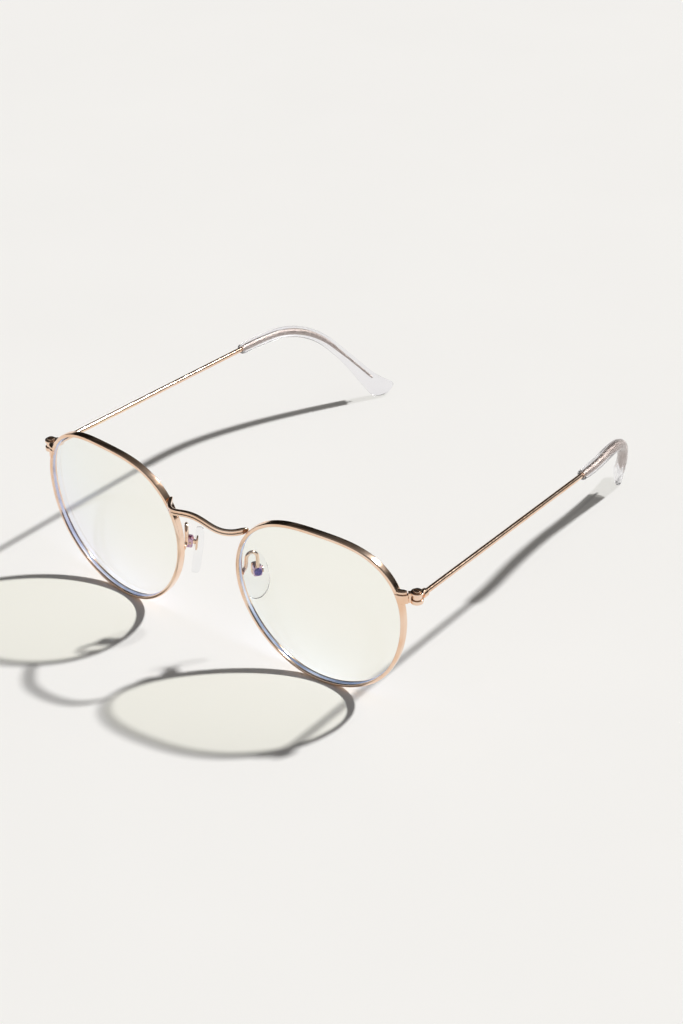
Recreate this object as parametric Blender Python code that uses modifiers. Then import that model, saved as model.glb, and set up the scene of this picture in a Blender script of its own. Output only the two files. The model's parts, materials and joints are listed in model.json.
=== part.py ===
"""Round wire-rim glasses for blue light: two slit rims, two lenses, a bridge, rocking nose pads on gooseneck
arms and two folding temples with clear ear tips. Left is the wearer's left, +X; the glasses look along -Y and
stand on their rims and ear tips at z = 0. All sizes below are millimetres."""

import math

import bmesh
import bpy
from mathutils import Matrix, Vector

MM = 0.001

# Rims and lenses
RIM_X = 35.4  # rim centre from the middle of the face
RIM_Y = 1.5  # middle of the rim's depth, at the rim centre
RIM_Z = 25.65
WRAP = math.radians(5.3)  # outer end of each rim turned back
TILT = math.radians(3.9)  # top of each rim leant forward
OUTLINE = (25.53, ((2, 0.46, 0.04), (3, -0.13, 1.0), (4, -0.34, 0.0), (5, -0.10, -0.08)))
OUTLINE_STEPS = 48
BOW_RADIUS = 140.0
BOW_REFERENCE = 25.7
RIM_WIDTH = 1.0
RIM_DEPTH = 2.0
GROOVE_DEPTH = 0.45
LENS_THICK = 1.6
LENS_GAP = 0.08
BRAZE_GAP = 0.06  # left between two pieces that are brazed together

# Closing block and hinge
HINGE = Vector((62.8, 5.8, 36.4))
BLOCK_Z = (35.2, 38.9)
LOWER_PLAN = ((57.0, 1.85), (58.6, 1.88), (59.7, 2.07), (60.5, 2.48), (61.1, 3.05), (61.5, 3.65), (61.6, 4.2),
              (61.05, 4.45), (60.5, 4.55), (59.9, 4.15), (59.2, 3.8), (58.2, 3.62), (57.0, 3.55))
UPPER_PLAN = ((57.0, 1.9), (58.6, 1.93), (59.7, 2.12), (60.5, 2.53), (61.05, 3.05), (61.25, 3.6), (60.85, 4.2),
              (60.1, 4.15), (59.2, 3.75), (58.2, 3.57), (57.0, 3.5))
RIM_SCREW = (60.68, 3.6)
SEAM_Z = 38.0
SEAM = 0.16
KNUCKLE_R = 1.7
MIDDLE_R = 1.35
KNUCKLES_Z = ((35.2, 36.3), (36.38, 37.62), (37.7, 38.4))
WEB_TURN = math.radians(218.5)  # direction from the hinge axis to the block's back end
PIVOT_R = 0.6
RUNNING_GAP = 0.05

# Temples and ear tips
YAW = math.radians(1.4)
SLOPE = math.radians(2.8)
WIRE_R = 0.75
COLLAR_LENGTH = 3.9  # hinge axis to the start of the bare wire
TIP_START = 81.6
BEND_START = 13.3
BEND_RADIUS = 34.4
END_SLOPE = math.radians(46.3)
END_LENGTH = 28.2
INWARD = math.radians(33.7)
INWARD_SPAN = (2.2, 53.8)  # stretch of the ear tip over which it turns inward
CORE_LENGTH = 59.4  # wire inside the ear tip
CORE_GAP = 0.07
TIP_SECTIONS = (  # share of the tip's length, reach below and above the wire, half thickness
    (0.0, 1.5, 1.5, 1.5), (0.04, 1.65, 1.65, 1.65), (0.2, 1.7, 1.7, 1.7), (0.35, 1.75, 1.7, 1.7),
    (0.5, 1.85, 1.6, 1.65), (0.68, 2.15, 1.45, 1.55), (0.76, 2.8, 1.4, 1.5), (0.84, 3.65, 1.4, 1.45),
    (0.88, 4.05, 1.5, 1.4), (0.928, 4.5, 2.1, 1.35), (0.952, 4.38, 2.6, 1.3), (0.976, 3.15, 3.0, 1.1),
    (0.992, 1.65, 2.75, 0.85), (1.0, 0.8, 2.0, 0.55),
)

# Bridge and nose pads
BRIDGE_HALF = 13.35
BRIDGE_REACH = 12.6
BRIDGE_SECTION = (1.1, 1.75)
PAD_PIVOT = Vector((11.6, 4.6, 25.2))
PAD_TURN = math.radians(36.0)  # the pad's face turned from the side towards the back
PAD_FLARE = math.radians(7.0)  # foot of the pad further from the nose's middle
PAD_SIZE = (2.3, 7.6, 14.4)
PAD_OFFSET = 2.35  # pivot to the middle of the pad's thickness
PAD_DROP = 2.4  # middle of the pad below its pivot
PAD_SCREW_R = 0.35
ARM_R = 0.5


def clear_scene():
    for obj in list(bpy.data.objects):
        bpy.data.objects.remove(obj, do_unlink=True)


def new_collection(name, hidden=False):
    group = bpy.data.collections.new(name)
    group.hide_render = hidden
    bpy.context.scene.collection.children.link(group)
    return group


def new_material(name, colour, roughness, metallic, alpha=1.0):
    material = bpy.data.materials.new(name)
    material.use_nodes = True
    shader = material.node_tree.nodes["Principled BSDF"]
    shader.inputs["Base Color"].default_value = (*colour, 1.0)
    shader.inputs["Roughness"].default_value = roughness
    shader.inputs["Metallic"].default_value = metallic
    shader.inputs["Alpha"].default_value = alpha
    return material


def make_materials():
    return {
        "rose_gold": new_material("rose_gold", (0.80, 0.55, 0.40), 0.18, 1.0),
        "lens": new_material("lens", (0.95, 0.97, 0.90), 0.02, 0.0, 0.25),
        "clear_tip": new_material("clear_tip", (0.92, 0.92, 0.93), 0.08, 0.0, 0.4),
        "silicone": new_material("silicone", (0.90, 0.91, 0.92), 0.3, 0.0, 0.5),
        "screw_steel": new_material("screw_steel", (0.72, 0.60, 0.52), 0.25, 1.0),
    }


def link_mesh(name, mesh, group):
    obj = bpy.data.objects.new(name, mesh)
    group.objects.link(obj)
    return obj


def baked(obj, name, group):
    """The object with its modifiers and place worked into a new mesh."""
    bpy.context.view_layer.update()
    graph = bpy.context.evaluated_depsgraph_get()
    mesh = bpy.data.meshes.new_from_object(obj.evaluated_get(graph))
    mesh.transform(obj.matrix_world)
    bpy.data.objects.remove(obj, do_unlink=True)
    shape = bmesh.new()
    shape.from_mesh(mesh)
    bmesh.ops.remove_doubles(shape, verts=shape.verts, dist=2e-6)
    shape.to_mesh(mesh)
    shape.free()
    mesh.name = name
    return link_mesh(name, mesh, group)


def combined(obj, others, operation, group):
    """The object joined with, or cut by, the others, which are used up."""
    for other in others:
        change = obj.modifiers.new(other.name, "BOOLEAN")
        change.operation = operation
        change.solver = "EXACT"
        change.object = other
    result = baked(obj, obj.name, group)
    for other in others:
        bpy.data.objects.remove(other, do_unlink=True)
    return result


def helper(obj, cutters):
    """The object moved to the cutters, drawn as wire and left out of renders."""
    for group in list(obj.users_collection):
        group.objects.unlink(obj)
    cutters.objects.link(obj)
    obj.hide_render = True
    obj.display_type = "WIRE"
    return obj


def box(name, low, high, group, bevel=0.0, turn=None):
    shape = bmesh.new()
    bmesh.ops.create_cube(shape, size=1.0)
    mesh = bpy.data.meshes.new(name)
    shape.to_mesh(mesh)
    shape.free()
    low, high = Vector(low), Vector(high)
    size = (high - low) * MM
    mesh.transform(Matrix.Diagonal((*size, 1.0)))
    if turn is None:
        turn = Matrix.Identity(4)
    mesh.transform(turn @ Matrix.Translation((low + high) / 2 * MM))
    obj = link_mesh(name, mesh, group)
    if bevel:
        edge = obj.modifiers.new("edge", "BEVEL")
        edge.width = bevel * MM
        edge.segments = 1
        obj = baked(obj, name, group)
    return obj


def cylinder(name, centre, radius, length, group, turn=None, sides=20):
    """A cylinder along the local Z axis of turn, with its middle at centre."""
    shape = bmesh.new()
    bmesh.ops.create_cone(shape, cap_ends=True, segments=sides, radius1=radius * MM, radius2=radius * MM,
                          depth=length * MM)
    mesh = bpy.data.meshes.new(name)
    shape.to_mesh(mesh)
    shape.free()
    if turn is not None:
        mesh.transform(turn)
    mesh.transform(Matrix.Translation(Vector(centre) * MM))
    return link_mesh(name, mesh, group)


def swept(name, points, group, radius=0.0, profile=None, closed=False, resolution=1):
    """A round or profiled bar along the points, as a mesh."""
    curve = bpy.data.curves.new(name, "CURVE")
    curve.dimensions = "3D"
    curve.twist_mode = "Z_UP"
    curve.use_fill_caps = not closed
    line = curve.splines.new("POLY")
    line.points.add(len(points) - 1)
    line.use_cyclic_u = closed
    for spot, point in zip(line.points, points):
        spot.co = (*(Vector(point) * MM), 1.0)
    section = None
    if profile is None:
        curve.bevel_depth = radius * MM
        curve.bevel_resolution = resolution
    else:
        outline = bpy.data.curves.new(name + "_section", "CURVE")
        outline.dimensions = "2D"
        edge = outline.splines.new("POLY")
        edge.points.add(len(profile) - 1)
        edge.use_cyclic_u = True
        for spot, (across, up) in zip(edge.points, profile):
            spot.co = (across * MM, up * MM, 0.0, 1.0)
        section = link_mesh(name + "_section", outline, group)
        section.hide_render = True
        curve.bevel_mode = "OBJECT"
        curve.bevel_object = section
    obj = baked(link_mesh(name, curve, group), name, group)
    if section is not None:
        bpy.data.objects.remove(section, do_unlink=True)
    return facing_out(obj)


def facing_out(obj):
    shape = bmesh.new()
    shape.from_mesh(obj.data)
    bmesh.ops.recalc_face_normals(shape, faces=shape.faces)
    if shape.calc_volume(signed=True) < 0:
        bmesh.ops.reverse_faces(shape, faces=shape.faces)
    shape.to_mesh(obj.data)
    shape.free()
    return obj


def lofted(name, rings, group, place=None):
    """Skin between rings of points of unlike shape, closed at each end by one face or, for a ring of one, a fan."""
    shape = bmesh.new()
    rows = [[shape.verts.new(Vector(point) * MM) for point in ring] for ring in rings]
    for row, following in zip(rows, rows[1:]):
        count = max(len(row), len(following))
        for step in range(count):
            after = (step + 1) % count
            if len(row) == 1:
                shape.faces.new((row[0], following[step], following[after]))
            elif len(following) == 1:
                shape.faces.new((row[step], following[0], row[after]))
            else:
                shape.faces.new((row[step], following[step], following[after], row[after]))
    for row in (rows[0], rows[-1]):
        if len(row) > 1:
            shape.faces.new(row)
    mesh = bpy.data.meshes.new(name)
    shape.to_mesh(mesh)
    shape.free()
    if place is not None:
        mesh.transform(place)
    return facing_out(link_mesh(name, mesh, group))


def outline_radius(angle):
    mean, waves = OUTLINE
    return mean + sum(c * math.cos(n * angle) + s * math.sin(n * angle) for n, c, s in waves)


def bow(radius):
    """How far the lens surface lies in front of the rim's middle plane at this radius."""
    return (BOW_REFERENCE**2 - radius**2) / (2 * BOW_RADIUS)


def outline_ring(inset, forward=0.0, share=1.0, flat=False):
    ring = []
    for step in range(OUTLINE_STEPS):
        angle = 2 * math.pi * step / OUTLINE_STEPS
        radius = (outline_radius(angle) - inset) * share
        height = forward if flat else bow(radius) + forward
        ring.append((radius * math.cos(angle), radius * math.sin(angle), height))
    return ring


def rim_place():
    """From the rim's own frame (x outward, y up, z forward) to its place on the face."""
    turn = Matrix.Rotation(WRAP, 4, "Z") @ Matrix.Rotation(math.pi / 2 + TILT, 4, "X")
    return Matrix.Translation(Vector((RIM_X, RIM_Y, RIM_Z)) * MM) @ turn


def outline_cutter(name, inset, group):
    """A plate of the rim's outline, thick enough to clear everything that meets the rim's outer face."""
    return lofted(name, [outline_ring(inset, -7.0, flat=True), outline_ring(inset, 7.0, flat=True)], group,
                  rim_place())


def make_rim(group, cutters):
    half, width, groove, soft = RIM_DEPTH / 2, RIM_WIDTH, GROOVE_DEPTH, 0.18
    profile = [(0, -half + soft), (0, half - soft), (-soft, half), (-width + soft, half), (-width, half - soft),
               (-width, groove), (-width + groove, 0), (-width, -groove), (-width, -half + soft),
               (-width + soft, -half), (-soft, -half)]
    rings = [[] for _ in profile]
    for ring, (across, forward) in zip(rings, profile):
        ring.extend(outline_ring(-across, forward))
    shape = bmesh.new()
    rows = [[shape.verts.new(Vector(point) * MM) for point in ring] for ring in rings]
    for row, following in zip(rows, rows[1:] + rows[:1]):
        for step in range(OUTLINE_STEPS):
            after = (step + 1) % OUTLINE_STEPS
            shape.faces.new((row[step], following[step], following[after], row[after]))
    mesh = bpy.data.meshes.new("rim_left")
    shape.to_mesh(mesh)
    shape.free()
    mesh.transform(rim_place())
    rim = facing_out(link_mesh("rim_left", mesh, group))
    slit = helper(box("slit", (56, -2, SEAM_Z - SEAM / 2), (64, 7, SEAM_Z + SEAM / 2), cutters), cutters)
    return combined(rim, [slit], "DIFFERENCE", group)


def make_lens(group):
    inner = RIM_WIDTH + LENS_GAP
    half, tip = LENS_THICK / 2, RIM_WIDTH - GROOVE_DEPTH + LENS_GAP + 0.02
    shoulder = GROOVE_DEPTH - 0.05
    centre = bow(0.0)
    rings = [[(0, 0, centre + half)], outline_ring(inner, half, 0.4), outline_ring(inner, half, 0.75),
             outline_ring(inner, half), outline_ring(inner, shoulder), outline_ring(tip, 0.0),
             outline_ring(inner, -shoulder), outline_ring(inner, -half), outline_ring(inner, -half, 0.75),
             outline_ring(inner, -half, 0.4), [(0, 0, centre - half)]]
    return lofted("lens_left", rings, group, rim_place())


def bridge_point(across):
    share = (across / BRIDGE_REACH) ** 2
    return Vector((across, -6.86 - 1.18 * share + 6.67 * share**2, 43.3 - 5.3 * share + 3.0 * share**2))


def make_bridge(group, cutters):
    depth, height = BRIDGE_SECTION[0] / 2, BRIDGE_SECTION[1] / 2
    soft, groove = 0.2, 0.22
    profile = [(-depth, -height + soft), (-depth, -0.3), (-depth + groove, 0), (-depth, 0.3),
               (-depth, height - soft), (-depth + soft, height), (depth - soft, height), (depth, height - soft),
               (depth, -height + soft), (depth - soft, -height), (-depth + soft, -height)]
    steps = 28
    rings = []
    for step in range(steps + 1):
        across = -BRIDGE_HALF + 2 * BRIDGE_HALF * step / steps
        spot = bridge_point(across)
        along = (bridge_point(across + 0.1) - bridge_point(across - 0.1)).normalized()
        back = Vector((0, 0, 1)).cross(along).normalized()
        up = along.cross(back)
        rings.append([spot + back * deep + up * high for deep, high in profile])
    bar = lofted("bridge", rings, group)
    left = helper(outline_cutter("end_left", -BRAZE_GAP, cutters), cutters)
    right = helper(mirrored(left, "end_right", cutters), cutters)
    return combined(bar, [left, right], "DIFFERENCE", group)


def mirrored(obj, name, group):
    """A copy on the other side of the face."""
    mesh = obj.data.copy()
    mesh.name = name
    mesh.transform(obj.matrix_world)
    mesh.transform(Matrix.Scale(-1, 4, (1, 0, 0)))
    mesh.flip_normals()
    return link_mesh(name, mesh, group)


def plan_block(name, plan, low, high, ease, group):
    """A prism over an outline seen from above, with its top and bottom edges eased."""
    inner = []
    for index, (x, y) in enumerate(plan):
        (x0, y0), (x1, y1) = plan[index - 1], plan[(index + 1) % len(plan)]
        along = Vector((x1 - x0, y1 - y0)).normalized()
        inner.append((x - along.y * ease, y + along.x * ease))
    rings = [[(x, y, level) for x, y in ring]
             for ring, level in ((inner, low), (plan, low + ease), (plan, high - ease), (inner, high))]
    return lofted(name, rings, group)


def make_blocks(group, cutters):
    """Both halves of the closing block; the lower one carries the front hinge knuckles."""
    low, high = BLOCK_Z
    base = plan_block("block_lower_left", LOWER_PLAN, low, SEAM_Z - SEAM / 2, 0.2, group)
    turn = Matrix.Translation(Vector((HINGE.x, HINGE.y, 0.0)) * MM) @ Matrix.Rotation(WEB_TURN, 4, "Z")
    web = box("web", (MIDDLE_R + 0.1, -0.7, low + 0.05), (2.35, 0.7, KNUCKLES_Z[2][1] - 0.05), cutters, 0.12, turn)
    joined = [helper(web, cutters)]
    for index in (0, 2):
        bottom, top = KNUCKLES_Z[index]
        spot = (HINGE.x, HINGE.y, (bottom + top) / 2)
        joined.append(helper(cylinder(f"knuckle_{index}", spot, KNUCKLE_R, top - bottom, cutters), cutters))
    lower = combined(base, joined, "UNION", group)
    upper = plan_block("block_upper_left", UPPER_PLAN, SEAM_Z + SEAM / 2, high, 0.2, group)
    pivot = cylinder("pivot_bore", HINGE, PIVOT_R + RUNNING_GAP, 8, cutters)
    shank = cylinder("shank_bore", (*RIM_SCREW, low + 1.7), 0.36, 4.0, cutters)
    sunk = cylinder("head_bore", (*RIM_SCREW, low), 0.5, 1.2, cutters)
    edge = outline_cutter("block_edge", -BRAZE_GAP, cutters)
    lower = combined(lower, [helper(tool, cutters) for tool in (pivot, shank, sunk, edge)], "DIFFERENCE", group)
    shank = cylinder("shank_bore", (*RIM_SCREW, 37.4), 0.36, 2.2, cutters)
    edge = outline_cutter("block_edge", -BRAZE_GAP, cutters)
    upper = combined(upper, [helper(tool, cutters) for tool in (shank, edge)], "DIFFERENCE", group)
    return [lower, upper]


def make_rim_screw(group, cutters):
    x, y = RIM_SCREW
    head = cylinder("rim_screw_left", (x, y, BLOCK_Z[0] + 0.2), 0.42, 0.6, group)
    shank = helper(cylinder("shank", (x, y, 36.8), 0.3, 3.2, cutters, sides=16), cutters)
    slot = helper(box("slot", (x - 1, y - 0.08, 34.5), (x + 1, y + 0.08, 35.05), cutters), cutters)
    return combined(combined(head, [shank], "UNION", group), [slot], "DIFFERENCE", group)


def make_hinge_screw(group, cutters):
    top = KNUCKLES_Z[2][1]
    head = cylinder("hinge_screw_left", (HINGE.x, HINGE.y, top + 0.27), 1.05, 0.42, group)
    length = top + 0.3 - KNUCKLES_Z[0][0]
    spot = (HINGE.x, HINGE.y, KNUCKLES_Z[0][0] + length / 2)
    shank = helper(cylinder("shank", spot, PIVOT_R, length, cutters), cutters)
    slot = helper(box("slot", (HINGE.x - 2, HINGE.y - 0.13, top + 0.32), (HINGE.x + 2, HINGE.y + 0.13, top + 1), cutters),
                  cutters)
    return combined(combined(head, [shank], "UNION", group), [slot], "DIFFERENCE", group)


def temple_direction(yaw, slope):
    return Vector((-math.sin(yaw) * math.cos(slope), math.cos(yaw) * math.cos(slope), -math.sin(slope)))


def tip_length():
    return BEND_START + BEND_RADIUS * (END_SLOPE - SLOPE) + END_LENGTH


def temple_path(start, end, count):
    """Evenly spaced (point, direction, inward turn) along the temple, by its length from the hinge axis."""
    fine, found = 0.25, []
    wanted = [start + (end - start) * step / (count - 1) for step in range(count)]
    spot, along = HINGE.copy(), 0.0
    while len(found) < count:
        slope = min(max((along - TIP_START - BEND_START) / BEND_RADIUS, 0.0), END_SLOPE - SLOPE) + SLOPE
        share = (along - TIP_START - INWARD_SPAN[0]) / (INWARD_SPAN[1] - INWARD_SPAN[0])
        yaw = YAW + INWARD * min(max(share, 0.0), 1.0)
        way = temple_direction(yaw, slope)
        while len(found) < count and wanted[len(found)] <= along + fine:
            found.append((spot + way * (wanted[len(found)] - along), way, yaw))
        spot = spot + way * fine
        along += fine
    return found


def make_temple_hinge(group, cutters):
    """The middle knuckle, its leaf and the collar that holds the wire."""
    bottom, top = KNUCKLES_Z[1]
    middle = (bottom + top) / 2
    way = temple_direction(YAW, SLOPE)
    knuckle = cylinder("temple_hinge_left", (HINGE.x, HINGE.y, middle), MIDDLE_R, top - bottom, group)
    leaf = helper(box("leaf", (HINGE.x - 0.6, HINGE.y + 0.9, bottom + 0.04), (HINGE.x + 0.7, HINGE.y + 3.2, top - 0.04),
                      cutters, 0.1), cutters)
    turn = Vector((0, 0, 1)).rotation_difference(way).to_matrix().to_4x4()
    collar = helper(cylinder("collar", HINGE + way * (COLLAR_LENGTH - 0.9), 1.2, 1.8, cutters, turn), cutters)
    body = combined(knuckle, [leaf, collar], "UNION", group)
    pivot = helper(cylinder("pivot", HINGE, PIVOT_R + RUNNING_GAP, 8, cutters), cutters)
    socket = helper(cylinder("socket", HINGE + way * (COLLAR_LENGTH + 0.2), WIRE_R + CORE_GAP, 2.2, cutters, turn,
                             12), cutters)
    return combined(body, [pivot, socket], "DIFFERENCE", group)


def core_line(start, end):
    """Points along the wire: one at the start, then close together once it is inside the ear tip."""
    inside = [p for p, _, _ in temple_path(TIP_START - 3, TIP_START + CORE_LENGTH, 19)]
    first, last = temple_path(start, start + 1, 2)[0], temple_path(end - 1, end, 2)[1]
    return [first[0]] + inside[:-1] + [last[0]]


def make_temple_wire(group):
    return swept("temple_wire_left", core_line(COLLAR_LENGTH - 0.8, TIP_START + CORE_LENGTH), group, WIRE_R)


def make_temple_tip(group, cutters):
    rings = []
    sides = 16
    spots = temple_path(TIP_START, TIP_START + tip_length(), 126)
    for share, below, above, half_thick in refined(TIP_SECTIONS):
        spot, way, yaw = spots[round(share * 125)]
        outward = Vector((math.cos(yaw), math.sin(yaw), 0.0))
        across = outward.cross(way).normalized()
        middle, half_width = spot + across * (above - below) / 2, (above + below) / 2
        rings.append([middle + across * (half_width * math.cos(2 * math.pi * k / sides))
                      + outward * (half_thick * math.sin(2 * math.pi * k / sides)) for k in range(sides)])
    tip = lofted("temple_tip_left", rings, group)
    line = core_line(TIP_START - 6, TIP_START + CORE_LENGTH + 0.3)
    bore = helper(swept("bore", line, cutters, WIRE_R + CORE_GAP), cutters)
    return combined(tip, [bore], "DIFFERENCE", group)


def refined(sections):
    """The sections with one more between each pair along the bend, where the tip turns."""
    found = [sections[0]]
    for before, after in zip(sections, sections[1:]):
        if after[0] - before[0] > 0.09:
            found.append(tuple((a + b) / 2 for a, b in zip(before, after)))
        found.append(after)
    return found


def pad_place():
    """The pad's frame at its pivot: x along the rocking axis, y outward from the nose, z up the pad."""
    turn = Matrix.Rotation(math.pi / 2 - PAD_TURN, 4, "Z") @ Matrix.Rotation(math.pi, 4, "Z")
    return Matrix.Translation(PAD_PIVOT * MM) @ turn @ Matrix.Rotation(PAD_FLARE, 4, "X")


def make_pad_arm(group):
    """A gooseneck: up the back of the rim, over a loop and down to the pad box."""
    foot, top = Vector((10.1, 0.16, 26.4)), 31.5
    box_end = PAD_PIVOT + Vector((0.67, -0.49, 1.7))
    points = [foot, Vector((10.15, 0.95, 26.5)), Vector((10.2, 1.4, 27.0)), Vector((10.3, 1.6, 28.0)),
              Vector((10.35, 1.7, 29.5))]
    across = (box_end - points[-1]) * 0.5
    middle = points[-1] + across
    for step in range(1, 8):
        angle = math.pi * step / 8
        points.append(Vector((middle.x - across.x * math.cos(angle), middle.y - across.y * math.cos(angle),
                              29.5 + (top - 29.5) * math.sin(angle))))
    points += [Vector((box_end.x, box_end.y, 28.6)), box_end]
    return swept("pad_arm_left", points, group, ARM_R, resolution=1)


def make_pad_box(group, cutters):
    """A channel open towards the pad, drilled for the screw."""
    place = pad_place()
    body = box("pad_box_left", (-1.15, -0.75, -1.45), (1.15, 1.2, 1.45), group, 0.12, place)
    gap = helper(box("gap", (-0.55, -2.0, -2.0), (0.55, 0.75, 2.0), cutters, 0.0, place), cutters)
    bore = helper(cylinder("bore", (0, 0, 0), PAD_SCREW_R + 0.06, 6, cutters, Matrix.Rotation(math.pi / 2, 4, "Y"), 16),
                  cutters)
    bore.data.transform(place)
    return combined(body, [gap, bore], "DIFFERENCE", group)


def make_pad_screw(group, cutters):
    place = pad_place()
    quarter = Matrix.Rotation(math.pi / 2, 4, "Y")
    screw = cylinder("pad_screw_left", (0, 0, 0), PAD_SCREW_R, 2.5, group, quarter, 16)
    head = cylinder("head", (-1.42, 0, 0), 0.95, 0.42, cutters, quarter, 16)
    for piece in (screw, head):
        piece.data.transform(place)
    return combined(screw, [helper(head, cutters)], "UNION", group)


def make_pad_insert(group, cutters):
    """A plate let into the pad's outer face, with the lug that the screw goes through."""
    place = pad_place()
    face = -PAD_OFFSET + PAD_SIZE[0] / 2 - 0.35
    plate = box("pad_insert_left", (-1.2, face - 0.6, -2.2), (1.2, face, 1.6), group, 0.15, place)
    lug = helper(box("lug", (-0.42, face - 0.3, -0.6), (0.42, 0.62, 0.6), cutters, 0.1, place), cutters)
    bore = cylinder("bore", (0, 0, 0), PAD_SCREW_R + RUNNING_GAP, 6, cutters, Matrix.Rotation(math.pi / 2, 4, "Y"), 16)
    bore.data.transform(place)
    return combined(combined(plate, [lug], "UNION", group), [helper(bore, cutters)], "DIFFERENCE", group)


def make_nose_pad(group, cutters):
    """A soft D-shaped pad, flat where it bears on the nose, with a pocket for its insert."""
    place = pad_place()
    thick, wide, tall = PAD_SIZE
    sides = 24
    rings = []
    for share, scale in ((-0.5, 0.72), (-0.36, 0.93), (0.0, 1.0), (0.3, 0.97), (0.5, 0.84)):
        ring = []
        for step in range(sides):
            angle = 2 * math.pi * step / sides
            up = tall / 2 * math.sin(angle)
            side = wide / 2 * math.cos(angle) * (1.0 - 0.16 * math.sin(angle))
            ring.append((side * scale, -PAD_OFFSET + thick * share, up * scale - PAD_DROP))
        rings.append(ring)
    pad = lofted("nose_pad_left", rings, group, place)
    face = -PAD_OFFSET + thick / 2 - 0.35
    pocket = helper(box("pocket", (-1.28, face - 0.68, -2.28), (1.28, face + 3, 1.68), cutters, 0.1, place), cutters)
    return combined(pad, [pocket], "DIFFERENCE", group)


def set_origin(obj, point):
    """Origin moved to a point of the piece's joint axis, with the shape left where it is."""
    obj.data.transform(Matrix.Translation(-point * MM))
    obj.location = point * MM


def finish(obj, material, group):
    obj.data.materials.clear()
    obj.data.materials.append(material)
    for side in list(obj.users_collection):
        side.objects.unlink(obj)
    group.objects.link(obj)


def centre_on_table(pieces):
    """All pieces moved so that the overall box stands on z = 0 with its middle over the origin."""
    bpy.context.view_layer.update()
    points = [piece.matrix_world @ vertex.co for piece in pieces for vertex in piece.data.vertices]
    low = [min(point[axis] for point in points) for axis in range(3)]
    high = [max(point[axis] for point in points) for axis in range(3)]
    move = Vector((-(low[0] + high[0]) / 2, -(low[1] + high[1]) / 2, -low[2]))
    for piece in pieces:
        if piece.location.length > 0:
            piece.location += move
        else:
            piece.data.transform(Matrix.Translation(move))


def main():
    clear_scene()
    group = new_collection("blue_light_glasses")
    cutters = new_collection("cutters", hidden=True)
    surfaces = make_materials()
    bridge = make_bridge(group, cutters)
    finish(bridge, surfaces["rose_gold"], group)
    lower, upper = make_blocks(group, cutters)
    pieces = [
        (make_rim(group, cutters), "rose_gold", None),
        (make_lens(group), "lens", None),
        (lower, "rose_gold", None),
        (upper, "rose_gold", None),
        (make_rim_screw(group, cutters), "screw_steel", None),
        (make_hinge_screw(group, cutters), "screw_steel", None),
        (make_pad_arm(group), "rose_gold", None),
        (make_pad_box(group, cutters), "rose_gold", None),
        (make_pad_screw(group, cutters), "screw_steel", None),
        (make_pad_insert(group, cutters), "rose_gold", PAD_PIVOT),
        (make_nose_pad(group, cutters), "silicone", PAD_PIVOT),
        (make_temple_hinge(group, cutters), "rose_gold", HINGE),
        (make_temple_wire(group), "rose_gold", HINGE),
        (make_temple_tip(group, cutters), "clear_tip", HINGE),
    ]
    nodes = [bridge]
    for obj, surface, axis in pieces:
        other = mirrored(obj, obj.name.replace("_left", "_right"), group)
        for piece, side in ((obj, 1), (other, -1)):
            finish(piece, surfaces[surface], group)
            if axis is not None:
                set_origin(piece, Vector((axis.x * side, axis.y, axis.z)))
            nodes.append(piece)
    centre_on_table(nodes)


main()
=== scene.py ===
"""Blue light glasses: round rose gold wire rims with coated clear lenses, a grooved bridge, rocking nose pads on
gooseneck arms, split closing blocks, screwed hinges, and wire temples that end in clear ear tips.

Shapes are worked out in millimetres in the face frame, where x = 0 is the middle of the face, the glasses look
along -Y and +X is the wearer's left. The temple joint in the record ties that frame to the row frame. Every shape is
drawn for the left side and mirrored for the right.
"""

import json
import logging
import math
from dataclasses import dataclass, field, replace
from enum import Enum

import bpy
import numpy as np
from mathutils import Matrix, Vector

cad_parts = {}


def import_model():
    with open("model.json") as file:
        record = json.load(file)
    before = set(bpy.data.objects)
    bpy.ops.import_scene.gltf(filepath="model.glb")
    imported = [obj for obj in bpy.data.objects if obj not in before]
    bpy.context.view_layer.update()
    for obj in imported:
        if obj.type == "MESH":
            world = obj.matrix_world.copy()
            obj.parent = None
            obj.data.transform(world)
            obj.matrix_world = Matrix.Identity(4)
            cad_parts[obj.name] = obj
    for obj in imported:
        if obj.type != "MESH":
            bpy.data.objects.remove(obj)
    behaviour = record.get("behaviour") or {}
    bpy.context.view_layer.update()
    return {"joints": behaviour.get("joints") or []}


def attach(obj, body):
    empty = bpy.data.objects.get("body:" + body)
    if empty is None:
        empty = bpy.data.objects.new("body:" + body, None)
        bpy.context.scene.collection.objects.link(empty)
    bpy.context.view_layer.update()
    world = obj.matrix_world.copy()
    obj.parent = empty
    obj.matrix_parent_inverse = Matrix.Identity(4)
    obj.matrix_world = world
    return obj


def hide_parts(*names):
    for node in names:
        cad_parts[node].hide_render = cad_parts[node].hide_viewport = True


MM = 0.001
UP = (0, 0, 1)
HINGE = (62.8, 5.8, 36.4)  # where the left temple's joint stands in the face frame, in millimetres
FULL_TURN = 2 * math.pi
FAN_RADIUS = 0.02  # a turned shape's first and last ring, in millimetres, which a fan of triangles closes
KEY_TINT = (1.0, 0.993, 0.98)  # the faint warmth of the key light and of the glow round it
SHARP_FROM = math.radians(50)  # two faces that meet at more than this show an edge
LOG = logging.getLogger("blue_light_glasses")

Array = np.ndarray
Colour = tuple[float, float, float, float]


class Side(Enum):
    """Side of the wearer, with the sign that its x has."""

    LEFT = 1
    RIGHT = -1

    @property
    def suffix(self) -> str:
        """Ending of the names of this side's pieces."""
        return self.name.lower()


class Slot(Enum):
    """Material slots of the record."""

    ROSE_GOLD = "rose_gold"
    LENS = "lens"
    CLEAR_TIP = "clear_tip"
    SILICONE = "silicone"
    SCREW_STEEL = "screw_steel"


# ---------------------------------------------------------------- materials


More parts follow.
